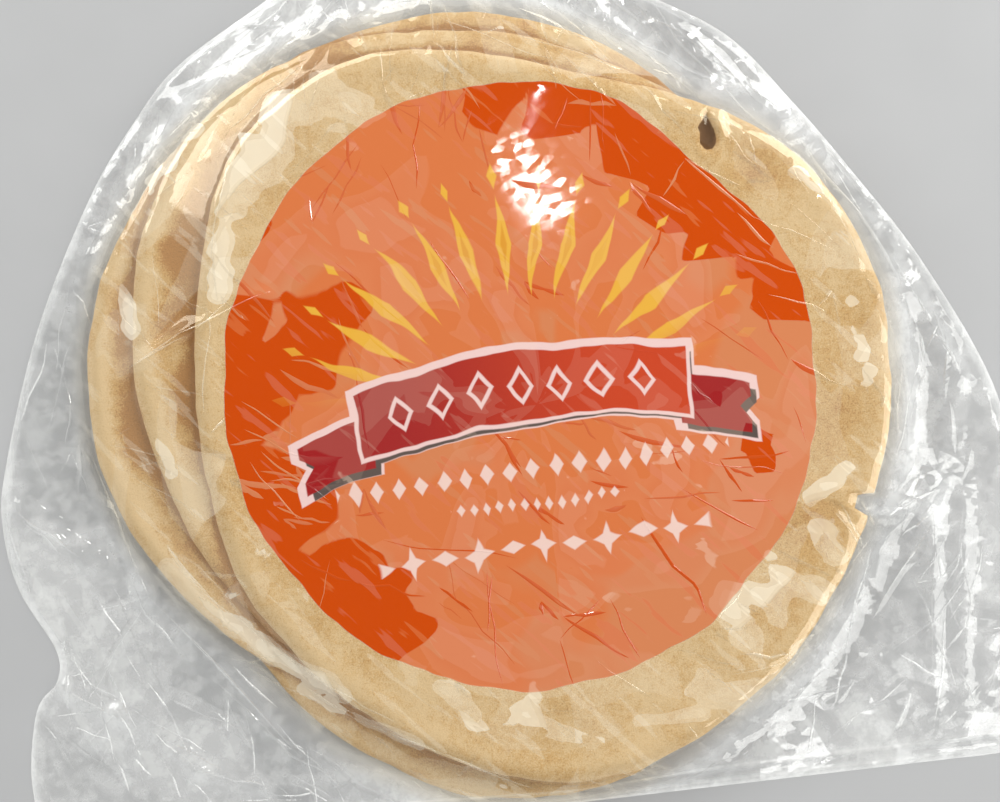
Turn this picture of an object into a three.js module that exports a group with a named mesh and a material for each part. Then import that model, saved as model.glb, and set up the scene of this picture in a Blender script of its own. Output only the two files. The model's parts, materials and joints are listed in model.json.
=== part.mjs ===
// A clear film bag with a fanned stack of flat, round pocket breads, lying on its back.
// Millimetres, +Z up. +X runs along the bag's straight bottom seal and +Y points to its gathered mouth.
// The origin is under the middle of the footprint, on the surface that the bag lies on.
//
// The bag is sealed and only its outside can be touched, so it is one closed body: a flat underside, a
// thin crumpled margin of empty film, and a dome of tight film whose steps are the rims of the breads.

import * as THREE from 'three';

// Driving dimensions

const marginThickness = 3;      // two layers of crumpled film lying on each other
const crumpleHeight = 1.2;      // how far the loose film heaves up and down
const crumpleLength = 17;       // size of one heave
const filmFall = 26;            // how far outside a rim the film comes down to the margin
const filmSag = 1.5;            // how much steeper it falls at the rim than at the foot
const filmHold = 3;             // how far inside a rim it starts to fall
const rimRise = 1.6;            // a bread's rolled rim stands this far above its middle
const rimInset = 10;            // the crest of the rim lies this far inside its edge
const rimWidth = 8;
const gatherHeight = 10;        // the bunched film at the mouth
const gatherReach = 34;
const pleatCount = 9;           // pleats that spread from the mouth over the upper half
const pleatSpread = 2.4;        // angle that they cover, in radians
const pleatHeight = 3.2;
const pleatReach = 120;

const sectors = 112;            // points round the outline
const innerRings = 6;           // rings from the middle to the top bread's rim
const rimRings = 5;             // rings over that rim
const outerRings = 11;          // rings from there to the edge of the film

const mouth = new THREE.Vector2(-8, 190);

// The breads from the lowest to the top one. Each outline is a circle with a few wide lobes:
// [waves round the edge, depth, direction of a crest in degrees times the number of waves].

const breads = [
  { x: -3, y: -38, radius: 147, lobes: [[2, 9, 180], [3, 4, 135]], top: 8 },
  { x: -18, y: -6, radius: 155, lobes: [[2, 1.4, -81], [3, 3.4, -174]], top: 12 },
  { x: -10, y: -2, radius: 146.4, lobes: [[2, 1.4, -94], [3, 5, 42]], top: 19 },
  { x: 17, y: -25, radius: 153.5, lobes: [[2, 5.5, -128], [3, 6.7, 41], [4, 3.9, 112], [5, 2, -114]], top: 26 },
];

// The film's outline, anticlockwise from the left end of the bottom seal: the seal, the right side, the
// shoulder that runs up to the mouth, and the left side with its tuck near the seal.

const outline = [
  [-222, -184], [-219, -197], [-209, -202], [-190, -202], [-120, -202], [0, -202], [120, -202], [180, -202],
  [200, -202], [210, -200], [214, -191], [217, -178], [221, -145], [224, -90], [219, -40], [194, 18],
  [166, 64], [145, 95], [121, 126], [90, 147], [51, 168], [16, 192], [4, 200], [-8, 202], [-21, 199],
  [-49, 184], [-82, 165], [-122, 142], [-143, 121], [-168, 88], [-198, 32], [-219, -27], [-223, -52],
  [-219, -80], [-206, -108], [-207, -122], [-217, -133], [-223, -160],
];

// The large folds of loose film, each a straight ridge: from, to, height and half width.

const folds = [
  { from: [-158, 127], to: [-113, 128], height: 5, width: 6 },
  { from: [-158, 127], to: [-131, 150], height: 4, width: 6 },
  { from: [-155, 12], to: [-102, 36], height: 3, width: 5 },
  { from: [26, 150], to: [82, 112], height: 3, width: 6 },
  { from: [62, 143], to: [121, 80], height: 3, width: 6 },
  { from: [143, 74], to: [178, 27], height: 5, width: 8 },
  { from: [185, -82], to: [175, -173], height: 4, width: 6 },
  { from: [198, -88], to: [187, -172], height: 3, width: 5 },
  { from: [185, -82], to: [164, -92], height: 5, width: 7 },
  { from: [-200, -96], to: [-172, -112], height: 4, width: 6 },
  { from: [-174, -166], to: [-149, -174], height: 4, width: 6 },
  { from: [-178, -55], to: [-143, -127], height: 3, width: 7 },
];

// Heights

const smooth = (t) => {
  const s = Math.min(1, Math.max(0, t));
  return s * s * (3 - 2 * s);
};

const bump = (distance, width) => Math.exp(-((distance / width) ** 2));

function edgeRadius(bread, angle) {
  return bread.lobes.reduce(
    (radius, [waves, depth, phase]) => radius + depth * Math.cos(waves * angle - THREE.MathUtils.degToRad(phase)),
    bread.radius,
  );
}

// How far a point lies outside a bread's edge, negative inside it.
function outside(bread, x, y) {
  const angle = Math.atan2(y - bread.y, x - bread.x);
  return Math.hypot(x - bread.x, y - bread.y) - edgeRadius(bread, angle);
}

function overBread(bread, x, y) {
  const distance = outside(bread, x, y);
  const share = Math.min(1, Math.max(0, (distance + filmHold) / (filmFall + filmHold)));
  const fall = (1 - share) ** filmSag;
  return (bread.top - marginThickness) * fall + rimRise * bump(distance + rimInset, rimWidth) * fall;
}

function foldHeight(fold, x, y) {
  const start = new THREE.Vector2(...fold.from);
  const along = new THREE.Vector2(...fold.to).sub(start);
  const point = new THREE.Vector2(x, y).sub(start);
  const share = Math.min(1, Math.max(0, point.dot(along) / along.lengthSq()));
  return fold.height * bump(point.sub(along.multiplyScalar(share)).length(), fold.width);
}

// Pleats run out from the mouth like a fan and fade with distance.
function pleats(x, y) {
  const reach = Math.hypot(x - mouth.x, y - mouth.y);
  const angle = Math.atan2(x - mouth.x, mouth.y - y);
  const spread = smooth(1.2 - Math.abs(angle) / pleatSpread);
  const wave = 0.5 + 0.5 * Math.cos((angle / pleatSpread) * pleatCount * Math.PI);
  return pleatHeight * wave * spread * smooth(1 - reach / pleatReach) * smooth(reach / gatherReach);
}

function crumple(x, y) {
  const across = Math.sin(x / crumpleLength + 1.3 * Math.sin(y / (1.4 * crumpleLength)));
  const along = Math.cos(y / (1.1 * crumpleLength) - 0.8 * Math.sin(x / (1.7 * crumpleLength)));
  return crumpleHeight * across * along;
}

function topHeight(x, y) {
  const stack = Math.max(...breads.map((bread) => overBread(bread, x, y)));
  const loose = 1 - smooth(stack / (breads.at(-1).top / 2));
  const gather = (gatherHeight - marginThickness) * bump(Math.hypot(x - mouth.x, y - mouth.y), gatherReach);
  const folded = Math.max(...folds.map((fold) => foldHeight(fold, x, y)));
  return marginThickness + stack + gather + pleats(x, y) + (0.35 + 0.65 * loose) * folded + loose * crumple(x, y);
}

// The closed body: rings of points from the middle of the top bread out to the edge of the film, a low
// wall round the edge, and the flat underside.

function bagGeometry() {
  const top = breads.at(-1);
  const curve = new THREE.CatmullRomCurve3(
    outline.map(([x, y]) => new THREE.Vector3(x, y, 0)), true, 'catmullrom', 0.5,
  );
  const edge = Array.from({ length: sectors }, (_, j) => curve.getPointAt(j / sectors));
  const ringCount = innerRings + rimRings + outerRings;
  const positions = [top.x, top.y, topHeight(top.x, top.y)];
  const faces = [];

  // Distance of ring i from the middle in the direction of one point of the outline.
  const ringRadius = (i, reach, rim) => {
    const rimStart = Math.min(rim - 18, reach - 26);
    const rimEnd = Math.min(rim + 3, reach - 5);
    if (i <= innerRings) return (rimStart * i) / innerRings;
    if (i <= innerRings + rimRings) return rimStart + ((rimEnd - rimStart) * (i - innerRings)) / rimRings;
    return rimEnd + ((reach - rimEnd) * (i - innerRings - rimRings)) / outerRings;
  };

  for (let i = 1; i <= ringCount; i++) {
    edge.forEach((point) => {
      const reach = Math.hypot(point.x - top.x, point.y - top.y);
      const angle = Math.atan2(point.y - top.y, point.x - top.x);
      const radius = ringRadius(i, reach, edgeRadius(top, angle));
      const x = top.x + radius * Math.cos(angle);
      const y = top.y + radius * Math.sin(angle);
      positions.push(x, y, topHeight(x, y));
    });
  }
  edge.forEach((point) => positions.push(point.x, point.y, 0));
  positions.push(top.x, top.y, 0);

  const at = (ring, j) => 1 + (ring - 1) * sectors + (j % sectors);
  const underside = 1 + (ringCount + 1) * sectors;
  for (let j = 0; j < sectors; j++) {
    faces.push(0, at(1, j), at(1, j + 1));
    for (let ring = 1; ring <= ringCount; ring++) {
      faces.push(at(ring, j), at(ring + 1, j), at(ring + 1, j + 1));
      faces.push(at(ring, j), at(ring + 1, j + 1), at(ring, j + 1));
    }
    faces.push(at(ringCount + 1, j + 1), at(ringCount + 1, j), underside);
  }

  const geometry = new THREE.BufferGeometry();
  geometry.setAttribute('position', new THREE.Float32BufferAttribute(positions, 3));
  geometry.setIndex(faces);
  geometry.computeBoundingBox();
  const centre = geometry.boundingBox.getCenter(new THREE.Vector3());
  geometry.translate(-centre.x, -centre.y, 0);
  geometry.computeVertexNormals();
  return geometry;
}

const film = new THREE.MeshStandardMaterial({ color: 0xe8d3ac, roughness: 0.3, metalness: 0 });

const bag = new THREE.Mesh(bagGeometry(), film);
bag.name = 'bag';

const pack = new THREE.Group();
pack.add(bag);

export default pack;
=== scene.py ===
# %% [markdown]
# A clear bag of pocket breads.
# Four round, flat breads lie fanned on each other in a bag of thin clear film with a round orange print.
# The construction model holds the whole pack as one closed body. Here that body is replaced by what one
# sees: the breads, each a mesh of its own, and the film, a mesh that is laid over them.

import json
import math

import bpy
import numpy as np
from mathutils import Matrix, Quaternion, Vector

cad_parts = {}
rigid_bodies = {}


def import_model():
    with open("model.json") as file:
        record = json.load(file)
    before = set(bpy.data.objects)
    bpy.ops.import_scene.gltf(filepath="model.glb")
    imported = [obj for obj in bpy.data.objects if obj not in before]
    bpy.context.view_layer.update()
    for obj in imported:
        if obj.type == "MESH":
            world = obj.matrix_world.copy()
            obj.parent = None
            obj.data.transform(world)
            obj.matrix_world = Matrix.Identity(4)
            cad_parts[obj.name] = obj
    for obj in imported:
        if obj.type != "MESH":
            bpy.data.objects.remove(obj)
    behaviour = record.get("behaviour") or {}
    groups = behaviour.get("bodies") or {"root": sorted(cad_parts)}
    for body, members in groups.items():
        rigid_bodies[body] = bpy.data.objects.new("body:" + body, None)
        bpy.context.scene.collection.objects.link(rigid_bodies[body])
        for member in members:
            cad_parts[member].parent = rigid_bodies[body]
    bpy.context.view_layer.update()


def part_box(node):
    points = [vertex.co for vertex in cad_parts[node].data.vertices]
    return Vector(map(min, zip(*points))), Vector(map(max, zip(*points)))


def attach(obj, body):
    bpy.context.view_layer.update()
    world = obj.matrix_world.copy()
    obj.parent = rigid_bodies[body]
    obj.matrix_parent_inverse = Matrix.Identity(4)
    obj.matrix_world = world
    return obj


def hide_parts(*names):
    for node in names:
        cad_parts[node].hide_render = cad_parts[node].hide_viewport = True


for leftover in list(bpy.data.objects):
    bpy.data.objects.remove(leftover)
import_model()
bag_low, bag_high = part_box("bag")
print("the solid pack measures", [round(1000 * (b - a)) for a, b in zip(bag_low, bag_high)], "mm")

# %% [markdown]
# Sizes.
# The pack is described in millimetres, because that is how one thinks of bread and film. Meshes are
# written in metres at the very end. A bread's outline is a circle with a few wide lobes, as no two hand
# sized lumps of dough roll out alike: waves round the edge, their depth, and the direction of a crest.

# %% Named sizes
MM = 0.001

BREADS = {
    "bread_lowest": dict(centre=(-3, -38), radius=147, lobes=((2, 9, 180), (3, 4, 135)), thick=6.6),
    "bread_third": dict(centre=(-18, -6), radius=154.5, lobes=((2, 1.4, -81), (3, 3.4, -174)), thick=5.4),
    "bread_second": dict(centre=(-10, -2), radius=146, lobes=((2, 1.4, -94), (3, 5, 42)), thick=6.2),
    "bread_top": dict(centre=(17, -25), radius=153, thick=6.4,
                      lobes=((2, 5.5, -128), (3, 6.7, 41), (4, 3.9, 112), (5, 2, -114))),
}

FILM_OUTLINE = [
    (-222, -184), (-219, -197), (-209, -202), (-190, -202), (-120, -202), (0, -202), (120, -202),
    (180, -202), (200, -202), (210, -200), (214, -191), (217, -178), (221, -145), (224, -90),
    (219, -40), (194, 18), (166, 64), (145, 95), (121, 126), (90, 147), (51, 168), (16, 192), (4, 200),
    (-8, 202), (-21, 199), (-49, 184), (-82, 165), (-122, 142), (-143, 121), (-168, 88), (-198, 32),
    (-219, -27), (-223, -52), (-219, -80), (-206, -108), (-207, -122), (-217, -133), (-223, -160),
]
MOUTH = (-8, 190)
SEAL_Y = -202
SEAL_WIDTH = 9

# %% [markdown]
# A height field.
# Everything in this pack lies flat, so its shape can be worked out as heights over a fine grid of points,
# as a map shows hills. That makes it easy to lay one bread on another and the film over all of them. The
# meshes then read their heights from the grid.

# %% The grid and how it is read
CELL = 0.75
X_AXIS = np.arange(-237, 237.1, CELL)
Y_AXIS = np.arange(-216, 216.1, CELL)
GRID_X, GRID_Y = np.meshgrid(X_AXIS, Y_AXIS)


def read_grid(field, x, y, cell=CELL):
    """The field's value at any points, by blending the four nearest grid points."""
    u = np.clip((x - X_AXIS[0]) / cell, 0, field.shape[1] - 1.001)
    v = np.clip((y - Y_AXIS[0]) / cell, 0, field.shape[0] - 1.001)
    i, j = u.astype(int), v.astype(int)
    u, v = u - i, v - j
    low = field[j, i] * (1 - u) + field[j, i + 1] * u
    high = field[j + 1, i] * (1 - u) + field[j + 1, i + 1] * u
    return low * (1 - v) + high * v


def blur(field, width):
    """A Gaussian blur, done as a product of frequencies."""
    rows = np.fft.fftfreq(field.shape[0], CELL)
    columns = np.fft.rfftfreq(field.shape[1], CELL)
    falloff = np.exp(-2 * (math.pi * width) ** 2 * (rows[:, None] ** 2 + columns[None, :] ** 2))
    return np.fft.irfft2(np.fft.rfft2(field) * falloff, s=field.shape)


def ease(t):
    t = np.clip(t, 0, 1)
    return t * t * (3 - 2 * t)


print("the grid has", GRID_X.shape[1], "by", GRID_X.shape[0], "points")

# %% [markdown]
# Chance, kept in hand.
# Dough and film are uneven in two different ways. Dough heaves softly, so its noise is blended smoothly
# between random values. Crumpled film is made of small flat facets that meet in sharp creases, so its
# noise is blended in straight lines over triangles. Each call names its own seed, so that every run gives
# the same pack.

# %% Soft heaves and sharp facets
LATTICE = 96


def lattice_corners(x, y, size, seed):
    """Random values at the corners of the lattice cell that each point is in, and its place in the cell."""
    values = np.random.default_rng(seed).uniform(-1, 1, (LATTICE, LATTICE))
    u, v = x / size + 41.3, y / size + 37.9
    i, j = np.floor(u).astype(int), np.floor(v).astype(int)
    a, b, c, d = (values[(j + dj) % LATTICE, (i + di) % LATTICE] for dj in (0, 1) for di in (0, 1))
    return a, b, c, d, u - i, v - j


def heaves(x, y, size, seed):
    a, b, c, d, u, v = lattice_corners(x, y, size, seed)
    u, v = ease(u), ease(v)
    return (a * (1 - u) + b * u) * (1 - v) + (c * (1 - u) + d * u) * v


def facets(x, y, size, seed, stretch=1.0, turn=0.0, bend=0.45):
    """Flat triangles of random tilt. stretch makes them longer along the direction turn, in degrees."""
    c, s = math.cos(math.radians(turn)), math.sin(math.radians(turn))
    along, across = (x * c + y * s) / stretch, y * c - x * s
    along = along + bend * size * heaves(x, y, 1.7 * size, seed + 500)
    across = across + bend * size * heaves(x, y, 1.5 * size, seed + 900)
    a, b, c, d, u, v = lattice_corners(along, across, size, seed)
    lower = a + u * (b - a) + v * (c - a)
    upper = d + (1 - u) * (c - d) + (1 - v) * (b - d)
    return np.where(u + v < 1, lower, upper)


# %% [markdown]
# The breads.
# Such a bread is rolled thin and baked very hot, so that it blows up like a balloon and then falls flat
# again: two thin layers that are joined in a rolled rim. Here each bread lies on the one below it, and
# where it hangs over, it droops a little. Its top and its underside are both heights on the grid.

# %% Outlines
def edge_radius(bread, angle):
    radius = bread["radius"] + 0 * angle
    for waves, depth, phase in bread["lobes"]:
        radius = radius + depth * np.cos(waves * angle - math.radians(phase))
    return radius


def ragged_radius(name, angle):
    """The outline with its small unevenness, and for the top bread its straight torn side."""
    bread = BREADS[name]
    seed = list(BREADS).index(name) + 10
    wander = np.cos(angle) * 80, np.sin(angle) * 80
    radius = edge_radius(bread, angle)
    radius = radius + 1.1 * heaves(*wander, 13, seed) + 0.45 * heaves(*wander, 4, seed + 5)
    if name == "bread_top":
        radius = torn_side(radius, angle)
    return radius


# The top bread's lower right side is nearly straight, and a scrap is missing where it starts.
TORN_FROM, TORN_TO = (158, -91), (85, -178)
NOTCH_ANGLE, NOTCH_DEPTH, NOTCH_HALF = -23.5, 6.5, 1.9


def torn_side(radius, angle):
    cx, cy = BREADS["bread_top"]["centre"]
    ax, ay = TORN_FROM[0] - cx, TORN_FROM[1] - cy
    bx, by = TORN_TO[0] - cx, TORN_TO[1] - cy
    normal = np.array((ay - by, bx - ax)) / math.hypot(ax - bx, ay - by)
    if normal @ (ax, ay) < 0:
        normal = -normal
    facing = np.cos(angle) * normal[0] + np.sin(angle) * normal[1]
    straight = (normal @ (ax, ay) + 1.5) / np.maximum(facing, 0.2)
    radius = np.minimum(radius, np.where(facing > 0.5, straight, 999))
    off = (np.degrees(angle) - NOTCH_ANGLE + 180) % 360 - 180
    return radius - NOTCH_DEPTH * ease((NOTCH_HALF - np.abs(off)) / 0.6)


def inside_edge(name, x, y):
    """How far each point lies inside the bread's edge, negative outside."""
    cx, cy = BREADS[name]["centre"]
    return ragged_radius(name, np.arctan2(y - cy, x - cx)) - np.hypot(x - cx, y - cy)


# %% Heights of the stack
HOLE_AT, HOLE_HALF, HOLE_TURN = (102.2, 80.5), (3.3, 7.6), -4
RIM_ROUND = 6.0
DROOP = 0.15


def inside_hole(x, y):
    """The small torn hole in the top bread: positive inside, in millimetres."""
    c, s = math.cos(math.radians(HOLE_TURN)), math.sin(math.radians(HOLE_TURN))
    dx, dy = x - HOLE_AT[0], y - HOLE_AT[1]
    across, along = dx * c + dy * s, dy * c - dx * s
    oval = 1 - np.hypot(across / HOLE_HALF[0], along / HOLE_HALF[1])
    return oval * HOLE_HALF[0] + 1.5 * facets(x, y, 4.5, 17)


def dough_relief(name, x, y, depth):
    """The rolled rim, the sunk middle, and the heaves of the crust."""
    seed = 30 + 7 * list(BREADS).index(name)
    rim = 0.9 * np.exp(-((depth - 7) / 5) ** 2) - 1.3 * ease((depth - 12) / 35)
    heave = 0.55 * heaves(x, y, 44, seed) + 0.35 * heaves(x, y, 19, seed + 1)
    blister = 0.2 * heaves(x, y, 8, seed + 2) + 0.07 * heaves(x, y, 3.2, seed + 3)
    relief = rim + (heave + blister) * ease(depth / 6)
    if name == "bread_top":
        torn = inside_hole(x, y)
        relief = relief + 0.6 * np.exp(-((torn + 1.6) / 1.2) ** 2) - 4.2 * ease((torn + 0.6) / 1.6)
    return relief


def stack_breads():
    """Lays the breads on each other, from the lowest up, and keeps what each one lies on."""
    pile = np.zeros_like(GRID_X)
    level = 0.3
    for name, bread in BREADS.items():
        depth = inside_edge(name, GRID_X, GRID_Y)
        drooping = np.maximum(blur(pile, 12), 0)
        support = (1 - DROOP) * level + DROOP * drooping
        rounding = np.sqrt(1 - (1 - np.clip(depth / RIM_ROUND, 0, 1)) ** 2)
        relief = dough_relief(name, GRID_X, GRID_Y, depth)
        top = support + bread["thick"] * (0.5 + 0.5 * rounding) + relief * ease(depth / 2)
        bread["support"] = support
        pile = np.where(depth > 0, np.maximum(top, pile), pile)
        level += bread["thick"]
    return pile


def widen(field, cells):
    """Each point takes the highest value within so many cells, so that a coarser mesh clears it."""
    for axis in (0, 1):
        field = np.max([np.roll(field, shift, axis) for shift in range(-cells, cells + 1)], axis=0)
    return field


PILE = stack_breads()
CLEAR_OF_BREAD = np.maximum(widen(PILE, 2), 0) + 0.2
print("the stack is", round(float(PILE.max()), 1), "mm high")

# %% [markdown]
# From rings to a mesh.
# A round thing is best made of rings of points round its middle: the faces then follow its edge. One
# helper joins any list of rings to a mesh, and the breads and the film all use it.

# %% Build a mesh from rings
def mesh_from_rings(name, rings, start=None, end=None):
    """Joins rings of points, each as long as the next, and closes them to a point at either end."""
    count, sectors = len(rings), len(rings[0])
    points = np.concatenate(rings)
    here = np.arange(sectors)
    following = (here + 1) % sectors
    quads = [np.stack((k * sectors + here, (k + 1) * sectors + here,
                       (k + 1) * sectors + following, k * sectors + following), 1)
             for k in range(count - 1)]
    faces = np.concatenate(quads).tolist()
    if start is not None:
        faces += [(len(points), i, j) for i, j in zip(here.tolist(), following.tolist())]
        points = np.vstack((points, start))
    if end is not None:
        last = (count - 1) * sectors
        faces += [(len(points), last + j, last + i) for i, j in zip(here.tolist(), following.tolist())]
        points = np.vstack((points, end))
    mesh = bpy.data.meshes.new(name)
    mesh.from_pydata((points * MM).tolist(), [], faces)
    mesh.validate()
    mesh.shade_smooth()
    thing = bpy.data.objects.new(name, mesh)
    bpy.context.scene.collection.objects.link(thing)
    return thing, points


def keep_values(thing, name, values):
    """Stores a number for each point of the mesh, which the material can read."""
    kept = thing.data.attributes.new(name, "FLOAT", "POINT")
    kept.data.foreach_set("value", np.asarray(values, np.float32))


# %% Where the breads are brown, and where shade is painted on them
# Each spot has its place, its size and its strength. The spots on the second and third breads beside the edge
# of the bread above are partly brown from baking and partly painted shade in the valley there, and the one at
# (-115, 88) is painted shade where the second bread's slope faces the light.
BROWN_AND_SHADE_SPOTS = {
    "bread_top": [(121, 62, 14, 0.9), (146, -44, 14, 0.6), (95, -140, 20, 0.25), (60, 112, 22, 0.5),
                  (-110, -40, 18, 0.35), (20, -170, 30, 0.2), (126, -84, 16, 0.6), (110, -112, 16, 0.3),
                  (152, -12, 12, 0.6)],
    "bread_second": [(-127, 26, 13, 1.2), (-122, 54, 12, 1.1), (-129, 0, 12, 1.0), (-60, 138, 20, 0.5),
                     (-115, 88, 22, 0.7)],
    "bread_third": [(-151, 42, 12, 1.0), (-154, -18, 12, 0.9), (-150, -70, 24, 0.4), (-40, 146, 24, 0.4)],
    "bread_lowest": [(-60, -180, 30, 0.6)],
}


def browning_and_shade(name, x, y, depth):
    """Brown, painted shade and highlight: pale on the rim, brown in some spots and beside the next bread's
    edge.
    """
    seed = 60 + list(BREADS).index(name)
    # The pale rim is partly flour and partly a painted highlight along the rim's rounded crest.
    pale_and_lit_rim = 0.15 if name == "bread_top" else 0.5
    brown = 0.2 * heaves(x, y, 36, seed) - pale_and_lit_rim * np.exp(-((depth - 7) / 5) ** 2)
    for spot_x, spot_y, size, strength in BROWN_AND_SHADE_SPOTS[name]:
        away = np.hypot(x - spot_x, y - spot_y) + 0.5 * size * heaves(x, y, 14, seed + 9)
        brown = brown + strength * np.exp(-(away / size) ** 2)
    order = list(BREADS)
    for upper in order[order.index(name) + 1:]:
        away = np.maximum(-inside_edge(upper, x, y) - 0.4, 0)
        # Beside the edge of each bread above: a narrow dark line that is painted shade in the crevice, and a
        # wider streaky band that is partly brown from baking and partly painted shade in the valley.
        streaky_brown_and_shade = 0.8 + 0.9 * heaves(x, y, 26, seed + 20) + 0.4 * heaves(x, y, 7, seed + 21)
        brown = brown + 1.0 * np.exp(-(away / 1.6) ** 2) + np.maximum(streaky_brown_and_shade, 0) * np.exp(-(away / 9) ** 2)
    return brown


print("the breads have", sum(len(spots) for spots in BROWN_AND_SHADE_SPOTS.values()), "brown spots")

# %% How a bread is made
BREAD_SECTORS = {"bread_lowest": 400, "bread_third": 480, "bread_second": 480, "bread_top": 640}
RIM_STEPS = [0, 0.12, 0.4, 0.8, 1.3, 1.9, 2.6, 3.4, 4.5, 5.8, 7.2, 8.8]
RING_STEP = 2.0


def make_bread(name):
    bread = BREADS[name]
    cx, cy = bread["centre"]
    angle = np.linspace(0, 2 * math.pi, BREAD_SECTORS[name], endpoint=False)
    edge = ragged_radius(name, angle)
    depths = RIM_STEPS + list(np.arange(RIM_STEPS[-1] + RING_STEP, edge.min() - 2 * RING_STEP, RING_STEP))
    top_rings, bottom_rings = [], []
    for depth in depths:
        radius = edge - depth
        x, y = cx + radius * np.cos(angle), cy + radius * np.sin(angle)
        rounding = math.sqrt(1 - (1 - min(depth / RIM_ROUND, 1)) ** 2)
        support = read_grid(bread["support"], x, y)
        relief = dough_relief(name, x, y, depth + 0 * x) * ease(depth / 2)
        top = support + bread["thick"] * (0.5 + 0.5 * rounding) + relief
        bottom = support + bread["thick"] * (0.5 - 0.5 * rounding)
        top_rings.insert(0, np.stack((x, y, top), 1))
        if depth > 0 and (depth <= RIM_STEPS[-1] or len(bottom_rings) % 2):
            bottom_rings.append(np.stack((x, y, bottom), 1))
    middle_top = top_rings[0].mean(0)
    middle_bottom = bottom_rings[-1].mean(0)
    thing, points = mesh_from_rings(name, top_rings + bottom_rings, middle_top, middle_bottom)
    x, y = points[:, 0], points[:, 1]
    keep_values(thing, "browning_and_shade", browning_and_shade(name, x, y, inside_edge(name, x, y)))
    if name == "bread_top":
        keep_values(thing, "torn", inside_hole(x, y))
    return thing


# %% All four breads
breads = {name: make_bread(name) for name in BREADS}
for name, thing in breads.items():
    print(name, len(thing.data.polygons), "faces")

# %% [markdown]
# The film's lie.
# The film is tight over the rims and spans the sunk middle of the top bread, and outside the stack it
# falls to the ground. That is what a stretched skin does over an obstacle: each point takes the mean
# height of its neighbours, less a little sag, unless the bread pushes it up. Repeating that a few hundred
# times on a coarse grid settles it.

# %% The outline of the film
def through_points(points, count):
    """A closed smooth curve through the points, walked in equal steps."""
    p = np.array(points, float)
    t = np.linspace(0, 1, 40, endpoint=False)[:, None]
    before, after, beyond = np.roll(p, 1, 0), np.roll(p, -1, 0), np.roll(p, -2, 0)
    pieces = [0.5 * (2 * b + (c - a) * t + (2 * a - 5 * b + 4 * c - d) * t ** 2
                     + (3 * b - a - 3 * c + d) * t ** 3)
              for a, b, c, d in zip(before, p, after, beyond)]
    fine = np.concatenate(pieces)
    closed = np.vstack((fine, fine[:1]))
    walked = np.concatenate(([0], np.cumsum(np.hypot(*np.diff(closed, axis=0).T))))
    stops = np.linspace(0, walked[-1], count, endpoint=False)
    return np.stack([np.interp(stops, walked, closed[:, k]) for k in (0, 1)], 1)


FILM_SECTORS = 800
film_edge = through_points(FILM_OUTLINE, FILM_SECTORS)
FILM_MIDDLE = BREADS["bread_top"]["centre"]


def reach_of_film(x, y):
    """The film's edge in the direction of each point, as a distance from the film's middle."""
    dx, dy = film_edge[:, 0] - FILM_MIDDLE[0], film_edge[:, 1] - FILM_MIDDLE[1]
    around = np.arctan2(dy, dx)
    order = np.argsort(around)
    angle = np.arctan2(y - FILM_MIDDLE[1], x - FILM_MIDDLE[0])
    return np.interp(angle, around[order], np.hypot(dx, dy)[order], period=2 * math.pi)


INSIDE_FILM = reach_of_film(GRID_X, GRID_Y) - np.hypot(GRID_X - FILM_MIDDLE[0], GRID_Y - FILM_MIDDLE[1])
OUTSIDE_STACK = -np.max([inside_edge(name, GRID_X, GRID_Y) for name in BREADS], axis=0)
LOOSE = ease((OUTSIDE_STACK + 1.5) / 14)

# %% Lay the film over the stack
MARGIN = 1.6
SAG_OUTSIDE, SAG_OVER_BREAD = 0.0145, 0.00001
# Each grid uses every so many points, and is settled in so many rounds.
GRIDS = ((16, 500), (4, 300))


def settle_film():
    """Settles the film on a coarse grid first, and then on a finer one, so that it spans wide hollows."""
    height, coarser = None, None
    for step, rounds in GRIDS:
        below = np.maximum(PILE, 0)[::step, ::step]
        x, y = GRID_X[::step, ::step], GRID_Y[::step, ::step]
        inside = INSIDE_FILM[::step, ::step] > 3
        sag = np.where(OUTSIDE_STACK[::step, ::step] > 0, SAG_OUTSIDE, SAG_OVER_BREAD) * (CELL * step) ** 2
        height = below + 0.5 if height is None else read_grid(height, x, y, CELL * coarser)
        for _ in range(rounds):
            mean = height.copy()
            above_below = height[:-2, 1:-1] + height[2:, 1:-1]
            mean[1:-1, 1:-1] = (above_below + height[1:-1, :-2] + height[1:-1, 2:]) / 4
            height = np.where(inside, np.maximum(mean - sag, np.maximum(below, MARGIN)), 1.0)
        coarser = step
    return read_grid(height, GRID_X, GRID_Y, CELL * coarser)


FILM_BASE = settle_film()
off_bread = (FILM_BASE - PILE)[OUTSIDE_STACK < 0].max()
print("over the stack the film is up to", round(float(off_bread), 1), "mm off the bread below it")

# %% [markdown]
# The larger folds.
# Loose film is full of flat facets that meet in sharp folds. The facets come from the sharp noise above,
# in two sizes, drawn out along the folds: round the stack at its sides, and towards the mouth in the
# upper half. The large folds are named by their two ends, and each is a low ridge in the grid.

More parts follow.
